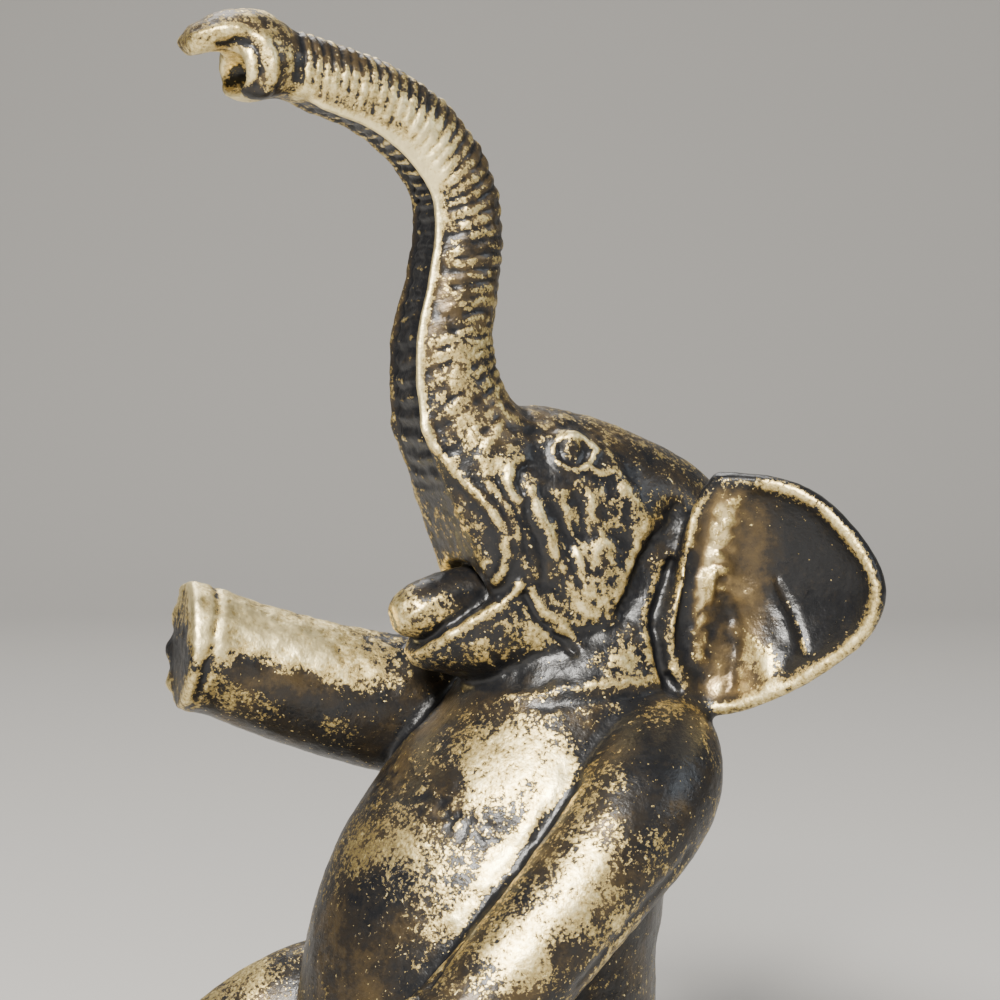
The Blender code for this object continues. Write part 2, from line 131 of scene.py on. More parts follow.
# Stations are x, y, z, half width across and half depth, in millimetres above the base's top.
BASE_HEIGHT = 8.0
BASE_SIZE = (92.0, 84.0)
BASE_AHEAD = 5.0
BASE_SQUARENESS = 4.5
TORSO = (
    (4.5, 0, -1.5, 20.0, 20.0),
    (3.5, 0, 6.0, 25.5, 26.0),
    (3.6, 0, 20.0, 26.5, 27.6),
    (5.6, 0, 40.0, 25.3, 26.6),
    (10.4, 0, 53.0, 24.4, 24.2),
    (16.4, 0, 64.0, 22.6, 20.6),
    (20.0, 0, 72.0, 19.2, 18.6),
    (22.5, 0, 78.5, 16.8, 16.6),
    (26.6, 0, 86.0, 14.6, 13.8),
    (30.0, 0, 95.0, 12.6, 12.0),
    (31.5, 0, 101.0, 8.0, 8.0),
)
SKULL = (
    (4.5, 0, 109.0, 9.5, 11.4),
    (11.0, 0, 107.8, 12.4, 13.4),
    (20.0, 0, 105.3, 13.4, 14.0),
    (28.0, 0, 102.6, 13.2, 13.6),
    (35.0, 0, 99.8, 12.2, 12.8),
    (40.0, 0, 97.6, 9.6, 10.6),
    (43.6, 0, 96.0, 5.4, 6.4),
    (44.8, 0, 95.4, 1.6, 2.0),
)
JAW = (
    (-6.8, 0, 84.2, 1.4, 1.2),
    (-4.4, 0, 84.8, 4.6, 3.4),
    (-1.0, 0, 86.3, 7.6, 6.3),
    (3.0, 0, 87.9, 9.6, 9.1),
    (8.0, 0, 90.2, 11.4, 11.9),
    (14.0, 0, 91.4, 12.6, 12.4),
    (22.0, 0, 92.0, 12.4, 12.4),
    (30.0, 0, 93.0, 10.5, 11.0),
)
JAW_FLAT = 0.42
MOUTH = ((-1.6, 0, 93.5), (9.8, 7.6, 4.8))
TONGUE = (
    (9.0, 0, 93.6, 5.0, 3.4),
    (2.0, 0, 92.8, 5.4, 4.1),
    (-3.0, 0, 91.4, 5.2, 4.3),
    (-6.8, 0, 90.3, 4.4, 3.9),
    (-9.2, 0, 89.8, 2.2, 2.2),
)
TRUNK = (
    (13.6, 0, 92.6, 11.6, 12.4),
    (11.2, 0, 98.5, 12.6, 12.8),
    (8.2, 0, 105.0, 12.6, 12.2),
    (4.2, 0, 112.0, 11.2, 11.0),
    (0.6, 0, 118.5, 9.0, 9.4),
    (-1.0, 0, 125.0, 8.0, 8.4),
    (-1.3, 0, 131.5, 7.7, 7.6),
    (0.2, 0, 139.0, 7.2, 7.1),
    (1.2, 0, 147.0, 6.8, 6.8),
    (0.0, 0, 154.0, 6.5, 6.5),
    (-4.5, 0, 160.4, 6.3, 6.3),
    (-11.2, 0, 165.3, 6.1, 6.0),
    (-18.5, 0, 168.0, 5.9, 5.8),
    (-24.0, 0, 169.6, 5.7, 5.8),
    (-27.6, 0, 170.3, 6.0, 6.4),
    (-30.6, 0, 170.7, 6.7, 7.4),
    (-32.9, 0, 170.9, 6.4, 7.0),
    (-34.2, 0, 171.0, 5.4, 5.8),
)
TRUNK_FLAT = 0.75
TRUNK_FINGER = (
    (-28.0, 0, 173.6, 4.4, 3.0),
    (-33.0, 0, 175.3, 5.6, 2.9),
    (-37.0, 0, 174.4, 5.2, 2.7),
    (-39.4, 0, 172.9, 4.0, 2.4),
    (-40.8, 0, 171.7, 2.0, 1.4),
)
NOSTRIL = ((-35.2, 0, 169.1), (6.2, 5.2, 3.4))
LEFT_FORELEG = (
    (27.0, -3.0, 72.5, 7.0, 7.0),
    (28.2, -12.0, 70.2, 9.0, 9.0),
    (24.6, -18.6, 66.3, 10.0, 10.4),
    (18.6, -23.6, 61.4, 9.8, 10.4),
    (11.3, -26.0, 54.6, 9.0, 9.5),
    (3.0, -27.0, 46.5, 8.7, 9.0),
    (-5.6, -27.0, 37.8, 8.6, 8.8),
    (-11.5, -27.0, 31.5, 9.3, 9.4),
    (-14.2, -27.0, 28.6, 9.0, 9.2),
)
RIGHT_FORELEG = (
    (22.0, 1.0, 68.0, 8.0, 8.0),
    (21.0, 11.0, 69.6, 10.6, 10.6),
    (14.0, 18.6, 71.0, 11.4, 11.3),
    (5.0, 21.5, 72.8, 10.9, 11.2),
    (-6.0, 23.5, 75.2, 10.2, 10.5),
    (-18.0, 25.5, 79.0, 9.6, 9.9),
    (-26.0, 26.8, 82.0, 9.2, 9.5),
    (-30.5, 27.4, 83.5, 9.6, 10.0),
    (-32.8, 27.8, 83.8, 9.3, 9.7),
)
RIGHT_HIND_LEG = (
    (14.0, 7.0, 15.0, 9.0, 10.0),
    (4.0, 18.0, 17.5, 13.0, 18.0),
    (-8.0, 24.0, 18.4, 12.2, 19.0),
    (-17.0, 26.3, 16.6, 11.4, 17.6),
    (-27.0, 27.3, 13.6, 10.4, 14.6),
    (-36.0, 27.6, 11.2, 10.2, 11.6),
    (-42.5, 27.6, 10.6, 10.6, 11.0),
    (-45.0, 27.6, 10.4, 9.8, 10.2),
)
LEFT_HIND_LEG = [(x, -y, z * 0.76, a, b * 0.76) for x, y, z, a, b in RIGHT_HIND_LEG]
TAIL = (
    (26.0, 0, 37.0, 2.6, 2.6),
    (31.0, 0, 24.0, 2.3, 2.3),
    (31.4, 1.5, 11.0, 2.2, 2.2),
    (30.0, 8.0, 2.4, 2.4, 2.4),
    (25.5, 16.0, 1.6, 3.2, 2.8),
    (22.0, 21.0, 0.8, 1.4, 1.4),
)
EAR_ROOT = (33.2, 15.2, 97.8)
EAR_START = (0.97, 0.24)  # its direction back and out from the head, as far as its bend
EAR_BEND = 1.5
EAR_SWEEP = math.radians(45)
EAR_OUTLINE = (
    (3.0, 13.4),
    (12.0, 13.0),
    (19.0, 10.4),
    (25.3, 4.5),
    (29.0, -2.6),
    (27.2, -9.6),
    (20.5, -15.6),
    (11.6, -20.6),
    (3.0, -23.0),
    (-3.2, -19.5),
    (-5.0, -11.5),
    (-3.0, -2.5),
    (-0.8, 7.0),
)
EAR_MIDDLE = (11.0, -3.5)
EAR_THICKNESS = 3.3
EAR_DISH = 4.2
EAR_RIM = 0.9
EYE = (14.8, 9.1, 114.6)
EYE_RADIUS = 2.6
CHEEK = ((19.0, 8.6, 96.0), (9.0, 5.4, 11.0))
MOUTH_CORNER = ((7.6, 9.0, 95.8), (3.4, 2.6, 2.8))
LEFT_SIDE, RIGHT_SIDE = -1, 1

MM_IN_M = 1000
SPAN_STEPS = 8
LIMB_POINTS = 96
BASE_POINTS = 144
ROUGH_GRAIN, FINE_GRAIN = 0.65, 0.42  # of the clay, when its lumps are merged and when it is smoothed
SMOOTHING = 18
TRIANGLES = 196000


def through(rows, steps):
    """The rows joined by a smooth curve, with this many steps to a span."""
    rows = np.array(rows, float)
    padded = np.vstack([2 * rows[0] - rows[1], rows, 2 * rows[-1] - rows[-2]])
    made = []
    for before, start, end, after in zip(padded, padded[1:], padded[2:], padded[3:]):
        for t in np.arange(steps) / steps:
            bend = (2 * before - 5 * start + 4 * end - after) * t**2
            twist = (3 * start - before - 3 * end + after) * t**3
            made.append((2 * start + (end - before) * t + bend + twist) / 2)
    made.append(rows[-1])
    return np.array(made)


EAR_EDGE = through((*EAR_OUTLINE, EAR_OUTLINE[0]), SPAN_STEPS)[:-1]


def frames(spine):
    """The directions along the spine, across it and out of its inner side, for each of its rows."""
    along = np.gradient(spine[:, :3], axis=0)
    along /= np.linalg.norm(along, axis=1)[:, None]
    across = np.array([0, 1, 0]) - along * along[:, 1:2]
    across /= np.linalg.norm(across, axis=1)[:, None]
    return along, across, np.cross(along, across)


def reach_along(spine):
    """How far along the spine each of its rows is."""
    return np.concatenate([[0], np.cumsum(np.linalg.norm(np.diff(spine[:, :3], axis=0), axis=1))])


def skin(clay, rings):
    """Closes a stack of rings of points, all of one count, into a tube with flat ends."""
    rows = [[clay.verts.new(point) for point in ring] for ring in rings]
    count = len(rows[0])
    for low, high in zip(rows, rows[1:]):
        for k in range(count):
            n = (k + 1) % count
            clay.faces.new((low[k], low[n], high[n], high[k]))
    clay.faces.new(rows[0][::-1])
    clay.faces.new(rows[-1])


def limb(clay, stations, flat=1.0):
    """Oval rings along a smooth spine, cut flat on the inner side at this share of the half depth."""
    spine = through(stations, SPAN_STEPS)
    turn = np.arange(LIMB_POINTS) * 2 * math.pi / LIMB_POINTS
    rings = []
    for row, _, across, inner in zip(spine, *frames(spine)):
        out = np.outer(np.cos(turn) * row[3], across)
        lift = np.outer(np.minimum(np.sin(turn), flat) * row[4], inner)
        rings.append(row[:3] + out + lift)
    skin(clay, rings)


def ball(clay, middle, radii):
    """An ellipsoid lump."""
    where = Matrix.Translation(middle) @ Matrix.Diagonal((*radii, 1))
    bmesh.ops.create_icosphere(clay, subdivisions=5, radius=1, matrix=where)


def on_ear(side, places, lift):
    """Points of one ear, from places out along it and up, at this lift from its middle plane."""
    u, v = np.array(places, float).T
    out = np.maximum(u - EAR_BEND, 0)
    sweep = EAR_SWEEP * np.clip((u + 4) / (EAR_BEND + 4), 0.1, 1)
    x = np.minimum(u, EAR_BEND) * EAR_START[0] + out * math.cos(EAR_SWEEP) - lift * np.sin(sweep)
    y = np.minimum(u, EAR_BEND) * EAR_START[1] + out * math.sin(EAR_SWEEP) + lift * np.cos(sweep)
    x, y, z = np.array(EAR_ROOT)[:, None] + (x, y, v)
    return np.column_stack([x, side * y, z])


def ear_front(share):
    """How far the front of the ear stands out, at this share of the way from its middle to its edge."""
    rim = EAR_RIM * np.exp(-(((share - 0.92) / 0.06) ** 2))
    return EAR_THICKNESS / 2 + EAR_DISH * (share**2 - 1) + rim


def ear(clay, side):
    """A dished leaf with a rolled rim."""
    middle = np.array(EAR_MIDDLE)
    shares = (0.12, 0.3, 0.5, 0.66, 0.78, 0.85, 0.9, 0.94, 0.975)
    sheet = [on_ear(side, middle + (EAR_EDGE - middle) * s, ear_front(s)) for s in shares]
    for edge in (0.2, -0.2):
        sheet.append(on_ear(side, EAR_EDGE, edge * EAR_THICKNESS))
    for s in reversed(shares):
        back = -EAR_THICKNESS / 2 + EAR_DISH * (s**2 - 1)
        sheet.append(on_ear(side, middle + (EAR_EDGE - middle) * s, back))
    skin(clay, sheet)


def base(clay):
    """The low base, a rounded oblong with its edges softened."""
    turn = np.arange(BASE_POINTS) * 2 * math.pi / BASE_POINTS
    round_x, round_y = np.cos(turn), np.sin(turn)
    swell = np.abs(round_x) ** BASE_SQUARENESS + np.abs(round_y) ** BASE_SQUARENESS
    swell = swell ** (-1 / BASE_SQUARENESS)
    rings = []
    for inset, z in ((1.3, 0), (0.4, 0.4), (0, 1.3), (0, 6.7), (0.4, 7.6), (1.3, 8.0)):
        x = round_x * swell * (BASE_SIZE[0] / 2 - inset) - BASE_AHEAD
        y = round_y * swell * (BASE_SIZE[1] / 2 - inset)
        rings.append(np.column_stack([x, y, np.full(BASE_POINTS, z - BASE_HEIGHT)]))
    skin(clay, rings)


def clay_object(name, clay):
    """An object made from the clay, with every face turned out."""
    bmesh.ops.recalc_face_normals(clay, faces=clay.faces)
    mesh = bpy.data.meshes.new(name)
    clay.to_mesh(mesh)
    clay.free()
    made = bpy.data.objects.new(name, mesh)
    bpy.context.scene.collection.objects.link(made)
    return made


clay = bmesh.new()
limb(clay, TORSO)
limb(clay, SKULL)
limb(clay, JAW, flat=JAW_FLAT)
limb(clay, TRUNK, flat=TRUNK_FLAT)
limb(clay, TRUNK_FINGER)
for stations in (LEFT_FORELEG, RIGHT_FORELEG, LEFT_HIND_LEG, RIGHT_HIND_LEG, TAIL):
    limb(clay, stations)
for side in (LEFT_SIDE, RIGHT_SIDE):
    ear(clay, side)
    ball(clay, np.array(EYE) * (1, side, 1), [EYE_RADIUS] * 3)
    for middle, radii in (CHEEK, MOUTH_CORNER):
        ball(clay, np.array(middle) * (1, side, 1), radii)
base(clay)
lumps = clay_object("lumps", clay)
clay = bmesh.new()
ball(clay, *NOSTRIL)
ball(clay, *MOUTH)
hollows = clay_object("hollows", clay)
clay = bmesh.new()
limb(clay, TONGUE)
tongue = clay_object("tongue", clay)

for step in ("merge", "hollow_out", "add_tongue", "merge_again"):
    if step.startswith("merge"):
        merge = lumps.modifiers.new(step, "REMESH")
        merge.mode = "VOXEL"
        merge.voxel_size = ROUGH_GRAIN if step == "merge" else FINE_GRAIN
        continue
    change = lumps.modifiers.new(step, "BOOLEAN")
    change.operation = "UNION" if step == "add_tongue" else "DIFFERENCE"
    change.solver = "EXACT"
    change.object = tongue if step == "add_tongue" else hollows
soften = lumps.modifiers.new("soften", "SMOOTH")
soften.factor = 0.5
soften.iterations = SMOOTHING
casting_mesh = bpy.data.meshes.new_from_object(lumps.evaluated_get(bpy.context.evaluated_depsgraph_get()))
for used in (lumps, hollows, tongue):
    bpy.data.objects.remove(used)
casting_mesh.name = "elephant_casting"


def points_of(mesh):
    """Its points, one to a row."""
    points = np.empty(len(mesh.vertices) * 3)
    mesh.vertices.foreach_get("co", points)
    return points.reshape(-1, 3)


def normals_of(mesh):
    """The direction out of the surface at each of its points."""
    normals = np.empty(len(mesh.vertices) * 3)
    mesh.vertex_normals.foreach_get("vector", normals)
    return normals.reshape(-1, 3)


def set_points(mesh, points):
    """Moves its points here."""
    mesh.vertices.foreach_set("co", points.ravel())
    mesh.update()


def clay_noise(points, size, seed=0.0):
    """Smooth noise from -1 to 1 whose lumps are about this wide."""
    return np.array([noise.noise(p) for p in (points / size + seed).tolist()])


def distance(points, path):
    """How far each point is from the path."""
    best = np.full(len(points), np.inf)
    for start, end in zip(path, path[1:]):
        span = end - start
        t = np.clip((points - start) @ span / max(span @ span, 1e-9), 0, 1)
        best = np.minimum(best, np.linalg.norm(points - start - np.outer(t, span), axis=1))
    return best


def trunk_places(points):
    """For points near the trunk: how far along it, across it and out of its underside each one is."""
    spine = through(TRUNK, SPAN_STEPS)
    _, across, inner = frames(spine)
    reach = reach_along(spine)
    apart = ((points[:, None, :] - spine[None, :, :3]) ** 2).sum(axis=2)
    best = apart.min(axis=1)
    weight = np.exp((best[:, None] - apart) / 3.0)
    weight /= weight.sum(axis=1)[:, None]
    middle, width, depth = weight @ spine[:, :3], weight @ spine[:, 3], weight @ spine[:, 4]
    across, inner = weight @ across, weight @ inner
    a = ((points - middle) * across).sum(axis=1) / width
    b = ((points - middle) * inner).sum(axis=1) / depth
    return weight @ reach, reach[-1], a, b, width, depth, across, inner


def stair(value, low, high):
    """0 below low, 1 above high and smooth between."""
    t = np.clip((value - low) / (high - low), 0, 1)
    return t * t * (3 - 2 * t)


points = points_of(casting_mesh)
normals = normals_of(casting_mesh)
surface = BVHTree.FromPolygons(points.tolist(), [list(face.vertices) for face in casting_mesh.polygons])
lift = np.zeros(len(points))
push = np.zeros((len(points), 3))

# The trunk: rings cut round its back and sides, slanting down towards its underside, a smooth raised
# ridge along each edge of the flat underside, and low bumps along the underside itself.
TRUNK_BEGINS = 104
RING_PITCH = (3.0, 1.95)  # at the trunk's root and at its tip
RIDGE_ACROSS = 0.661  # the place of each ridge, as a share of the trunk's half width
RIDGE_HEIGHT = 0.85
RIDGE_WIDTH = 0.85
near = points[:, 2] > TRUNK_BEGINS
s, whole, a, b, width, depth, across, inner = trunk_places(points[near])
share = s / whole
on_trunk = stair(1.6 - np.hypot(a, b), 0, 0.3)
wander = clay_noise(points[near], 5.0)
pitch = RING_PITCH[0] + (RING_PITCH[1] - RING_PITCH[0]) * share
slant = 0.12 + 0.4 * (1 - share)
turns = (s + slant * b * depth) / pitch + 0.25 * wander
cut = 1 - np.abs(np.sin(math.pi * turns)) ** 0.75
fade = stair(share, 0.22, 0.36) * stair(0.935 - share, 0, 0.03) * on_trunk
back_side = 1 - stair(b, 0.3, 0.66)
upper = stair(share, 0.5, 0.66)
toward_back = 1 - stair(b, -0.75, 0.2)
depth_there = 0.36 - 0.12 * upper + 0.2 * upper * toward_back
broken = 1 - 0.75 * stair(0.6 - share, 0, 0.2) * stair(clay_noise(points[near], 2.2, 7.0), -0.3, 0.3)
trunk_lift = -depth_there * cut * fade * back_side * broken
corner = np.hypot((np.abs(a) - RIDGE_ACROSS) * width, (b - TRUNK_FLAT) * depth)
left_half = stair(-a, -0.1, 0.1)
ridge = RIDGE_HEIGHT * np.exp(-((corner / RIDGE_WIDTH) ** 2)) * (0.5 + 0.5 * left_half)
ridge *= stair(share, 0.265, 0.3) * stair(0.9 - share, 0, 0.04) * on_trunk
beside = np.exp(-(((np.abs(a) * width - RIDGE_ACROSS * width + 1.6) / 0.6) ** 2)) * stair(b, 0.6, 0.74)
strip = stair(b, 0.55, 0.72) * stair(0.56 - np.abs(a), 0, 0.15) * on_trunk * stair(share, 0.18, 0.26)
strip *= stair(0.9 - share, 0, 0.05)
bumps = 0.2 * np.sin(2 * math.pi * (s / 2.4 + 0.35 * wander)) + 0.16 * clay_noise(points[near], 1.5, 3.0)
groove = 0.35 * beside * on_trunk * stair(share, 0.22, 0.28) * stair(0.9 - share, 0, 0.05)
trunk_lift += strip * bumps - groove
lift[near] += trunk_lift
outward = across * (np.sign(a) * 0.66)[:, None] + inner * TRUNK_FLAT
outward /= np.linalg.norm(outward, axis=1)[:, None]
push[near] += outward * ridge[:, None]

# How much more or less worn the trunk is along its ridges and its sides from root to tip, and painted shade
# along its underside, where only the tops of its bumps are rubbed lighter.
ridge_paint, underside_shade, trunk_wear_and_shade = np.zeros((3, len(points)))
ridge_paint[near] = ridge / RIDGE_HEIGHT * (3.2 * left_half - 2.2)
underside_shade[near] = strip
blotch = clay_noise(points[near], 3.0, 31.0) + 0.5 * clay_noise(points[near], 1.3, 33.0)
side_gold = stair(b + 0.25 * blotch, -0.6, -0.05) * (1 - stair(b, 0.72, 0.85))
spine_gold = 0.5 * stair(-b, 0.86, 0.97) * upper
middle_part = (1 - upper) * stair(share, 0.38, 0.48)
root_part = (1 - stair(share, 0.38, 0.48)) * stair(share, 0.2, 0.3)
side_paint = upper * (0.33 * side_gold - 0.32 * (1 - side_gold) * stair(blotch, -0.3, 0.15)) + spine_gold
side_paint += middle_part * (0.12 - 0.5 * stair(blotch, 0.12, 0.4) * (1 - 0.7 * stair(b, 0.1, 0.5)))
side_paint += root_part * 0.14
# Painted shade: the underside strip is made darker (-0.55) as the shade beneath the trunk, while the tops of
# its bumps stay rubbed lighter.
trunk_wear_and_shade[near] = side_paint * fade - 0.55 * strip + 0.6 * strip * stair(bumps, 0.14, 0.3)

# Strokes of the modelling tool: how far each raises the clay, how wide it is, and its path. Those of
# the face are given on the left side, those of the ears as places out along the ear and up, and the
# nostril's on the right side. All but LEFT_ONLY are mirrored too, the face's more faintly.
EYELIDS = (
    (11.6, -11.2, 114.8),
    (12.1, -10.9, 116.2),
    (13.4, -11.1, 117.2),
    (15.4, -11.2, 117.4),
    (17.4, -10.9, 116.6),
    (18.5, -11.3, 114.8),
    (17.3, -12.0, 112.9),
    (15.3, -12.2, 112.0),
    (13.1, -12.0, 112.2),
    (11.9, -11.6, 113.3),
    (11.6, -11.2, 114.8),
)
LID_CREASE = ((15.2, -11.0, 117.6), (17.5, -10.8, 116.9), (19.0, -11.2, 115.0))
NOSTRIL_LIP = (
    (-40.4, 2.0, 173.4),
    (-38.4, 4.0, 174.4),
    (-35.4, 5.2, 174.8),
    (-32.2, 6.0, 174.0),
    (-30.4, 6.4, 171.8),
    (-30.0, 6.3, 168.8),
    (-30.6, 5.2, 166.2),
)
NOSTRIL_FURROW = (
    (-37.4, 4.3, 172.6),
    (-34.6, 5.4, 172.9),
    (-32.6, 6.0, 171.8),
    (-32.0, 6.2, 169.2),
    (-32.4, 5.6, 167.0),
)
FAR_STRENGTH = 0.6  # of the face's strokes on the right side
NAILS = 4
BOTH_SIDES = (
    (0.4, 0.6, EYELIDS),
    (0.45, 1.1, (
        (10.6, -10.6, 117.6), (14.6, -10.4, 118.8), (18.4, -10.8, 117.4), (20.9, -11.6, 114.6),
    )),
    (0.4, 0.85, LID_CREASE),
    (0.25, 0.6, ((17.0, -12.2, 112.3), (18.5, -12.2, 111.3), (20.2, -12.5, 111.5))),
    (0.3, 1.1, ((12.7, -8.6, 118.6), (9.4, -7.6, 119.2), (6.2, -7.8, 119.9), (4.6, -7.4, 121.3))),
    (0.2, 1.0, ((8.1, -11.5, 110.7), (10.0, -12.3, 109.4), (12.7, -12.6, 108.7), (15.3, -12.4, 109.8))),
    (0.3, 0.8, ((4.4, -8.8, 118.6), (1.9, -9.8, 116.0), (0.6, -9.8, 113.6))),
    (0.35, 0.65, (
        (6.8, -10.6, 113.8), (4.9, -11.0, 112.8), (4.2, -11.4, 110.6), (4.5, -11.7, 108.6),
        (6.2, -12.0, 107.2),
    )),
    (-0.45, 0.6, ((7.9, -11.4, 112.8), (6.3, -11.4, 111.8), (5.8, -11.8, 110.2), (6.2, -12.0, 108.8))),
    (0.22, 0.8, (
        (1.4, -10.3, 112.8), (1.1, -10.5, 110.6), (2.6, -11.0, 108.7), (4.9, -11.5, 105.5),
        (5.9, -11.8, 101.5), (6.6, -11.7, 98.3),
    )),
    (-0.35, 0.6, ((2.6, -11.0, 110.6), (4.4, -11.2, 107.4), (6.0, -11.6, 104.0), (6.6, -11.9, 100.4))),
    (0.5, 0.9, (
        (7.6, -11.6, 109.0), (8.8, -12.1, 105.4), (10.1, -12.5, 102.8), (10.9, -12.5, 100.4),
        (12.2, -12.6, 97.2),
    )),
    (-0.5, 0.75, (
        (6.6, -12.0, 106.8), (7.0, -12.3, 104.6), (8.2, -12.3, 102.4), (9.0, -12.2, 100.0),
        (9.6, -12.1, 97.2), (9.4, -11.8, 95.4),
    )),
    (0.22, 0.7, ((12.4, -12.8, 107.6), (13.6, -13.0, 103.6), (15.0, -13.2, 99.4))),
    (-0.22, 0.7, ((14.2, -13.0, 108.4), (15.6, -13.2, 104.4), (16.8, -13.3, 100.6))),
    (0.2, 0.7, ((16.6, -13.1, 108.0), (17.8, -13.2, 104.2), (18.8, -13.3, 100.8))),
    (0.55, 1.5, (
        (21.0, -13.0, 112.4), (23.4, -13.8, 108.0), (25.0, -14.1, 104.8), (24.8, -13.9, 100.8),
        (23.3, -14.0, 97.2), (21.5, -14.0, 93.6),
    )),
    (-0.75, 1.4, (
        (31.4, -11.8, 105.8), (28.2, -13.0, 102.0), (26.4, -13.4, 99.0), (24.4, -13.7, 95.4),
        (22.4, -13.4, 91.0),
    )),
    (-0.8, 0.85, (
        (30.4, -12.5, 97.6), (28.4, -13.3, 93.4), (27.0, -13.9, 89.8), (27.0, -14.7, 85.9),
        (27.6, -15.2, 82.0), (29.5, -16.0, 78.9),
    )),
    (0.35, 1.0, (
        (30.7, -12.9, 99.3), (27.9, -12.9, 94.6), (25.6, -13.5, 90.2), (25.5, -14.8, 85.3),
        (26.4, -15.2, 81.6),
    )),
    (0.85, 0.85, (
        (2.7, -10.0, 95.6), (4.0, -11.0, 98.5), (3.6, -11.0, 102.7), (1.7, -10.5, 106.5),
        (-2.4, -9.0, 110.9), (-5.7, -7.1, 115.4), (-6.9, -6.2, 118.8),
    )),
    (0.75, 0.75, (
        (-6.1, -2.7, 84.6), (-4.6, -5.2, 86.8), (-2.7, -7.0, 88.0), (0.2, -8.9, 90.4),
        (2.9, -10.4, 91.8), (4.9, -11.0, 93.5), (6.2, -11.2, 95.2),
    )),
    (0.25, 0.6, ((-8.0, -3.4, 90.5), (-5.8, -4.5, 92.0), (-3.6, -4.7, 93.0))),
    (0.3, 0.6, (
        (7.9, -11.2, 94.4), (8.6, -11.5, 92.8), (10.2, -11.8, 91.0), (12.8, -12.0, 88.8),
        (15.2, -12.4, 86.0),
    )),
    (-0.5, 0.6, (
        (7.0, -11.5, 93.4), (8.0, -11.5, 91.4), (9.6, -11.6, 89.4), (12.0, -11.7, 87.2),
        (14.6, -12.2, 84.8),
    )),
    (-0.3, 0.6, ((3.0, -8.5, 84.8), (4.6, -7.8, 82.9), (5.6, -7.2, 81.6))),
    (0.4, 0.95, (
        (4.6, -9.6, 78.9), (8.5, -12.9, 79.0), (11.2, -14.3, 79.8), (14.9, -15.6, 80.3),
        (20.0, -16.2, 80.5), (27.0, -15.8, 80.2),
    )),
    (-0.25, 0.9, ((8.8, -13.8, 77.0), (14.4, -16.6, 78.2), (21.4, -17.6, 78.6))),
)
EAR_CREASE = ((12.0, -3.0), (14.5, -7.3), (16.5, -12.0))
EAR_STROKES = (
    (1.6, 2.6, ((5.2, 8.6), (4.4, 3.0), (3.3, -3.0))),
    (1.1, 2.2, ((2.8, -4.0), (1.8, -9.0), (1.6, -13.6))),
    (-0.6, 1.2, ((-0.6, 1.0), (-1.4, -6.0), (-1.8, -12.0))),
    (0.6, 1.7, ((4.0, -0.8), (7.6, -4.8))),
    (-0.7, 1.5, ((5.8, -7.6), (5.8, -13.6), (5.4, -18.6))),
    (0.4, 0.65, EAR_CREASE),
    (-0.35, 1.1, ((10.6, -4.2), (12.9, -8.2), (14.7, -12.6))),
    (0.4, 1.6, ((8.6, -10.6), (10.4, -13.6), (11.6, -17.0))),
    (-0.3, 1.0, ((12.8, -12.4), (13.8, -15.4))),
)
LEFT_ONLY = (
    (-0.55, 0.95, (
        (9.6, -23.1, 66.9), (5.7, -23.1, 62.3), (1.0, -23.7, 56.7), (-2.6, -24.2, 53.0),
        (-7.2, -24.0, 48.0), (-10.9, -25.0, 44.5), (-15.2, -26.3, 41.1),
    )),
    (0.3, 1.7, (
        (7.6, -21.3, 67.0), (4.4, -20.9, 62.7), (-0.4, -20.9, 57.1), (-4.2, -21.2, 53.0),
        (-8.4, -21.4, 48.4),
    )),
    (-0.35, 1.2, (
        (23.6, -31.3, 57.4), (18.3, -32.6, 53.0), (12.9, -33.7, 48.8), (9.2, -33.9, 45.2),
        (4.7, -33.9, 40.6),
    )),
    (-0.6, 3.4, ((-9.0, 6.0, 67.0), (-6.4, -8.5, 63.4), (-4.0, -15.3, 60.5), (-1.0, -19.4, 58.7))),
)


def laid(path):
    """The path, laid on the clay's surface."""
    path = through(np.array([surface.find_nearest(spot)[0] for spot in path]), 5)
    return np.array([surface.find_nearest(spot)[0] for spot in path])


def stroked(height, width, path):
    """Raises the clay along a path laid on its surface."""
    path = laid(path)
    low, high = path.min(axis=0) - 3 * width, path.max(axis=0) + 3 * width
    near = np.where(((points > low) & (points < high)).all(axis=1))[0]
    along = distance(points[near], path)
    ragged = 1 + 0.42 * clay_noise(points[near], 1.5, 11.0)
    lift[near] += height * ragged * np.exp(-((along / width) ** 2))


def band(stations, back_from_end, height, width):
    """A line drawn round a leg or the trunk, this far back from its end."""
    spine = through(stations, 12)
    _, across, inner = frames(spine)
    reach = reach_along(spine)
    k = int(np.argmin(np.abs(reach[-1] - reach - back_from_end)))
    turn = np.linspace(0, 2 * math.pi, 41)[:, None]
    row = spine[k]
    ring = row[:3] + across[k] * np.cos(turn) * row[3] + inner[k] * np.sin(turn) * row[4]
    stroked(height, width, ring)


def nails(stations, facing, spread=0.72):
    """Toenails: rounded shields round the end of a leg, each with a line cut round its upper edge."""
    spine = through(stations, 6)
    along, across, inner = (part[-8] for part in frames(spine))
    x, y, z, wide, deep = spine[-8]
    start = math.atan2(np.dot(facing, inner), np.dot(facing, across))
    for k in range(NAILS):
        turn = start + spread * (k - (NAILS - 1) / 2)
        spot = (x, y, z) + across * math.cos(turn) * wide + inner * math.sin(turn) * deep
        stroked(0.95, 1.9, np.array([spot, spot + along * 2.6]))
        round_it = -across * math.sin(turn) + inner * math.cos(turn)
        arc = []
        for t in np.linspace(0, math.pi, 7):
            arc.append(spot + round_it * 2.3 * math.cos(t) - along * (2.2 * math.sin(t) - 1.0))
        stroked(-0.45, 0.55, np.array(arc))


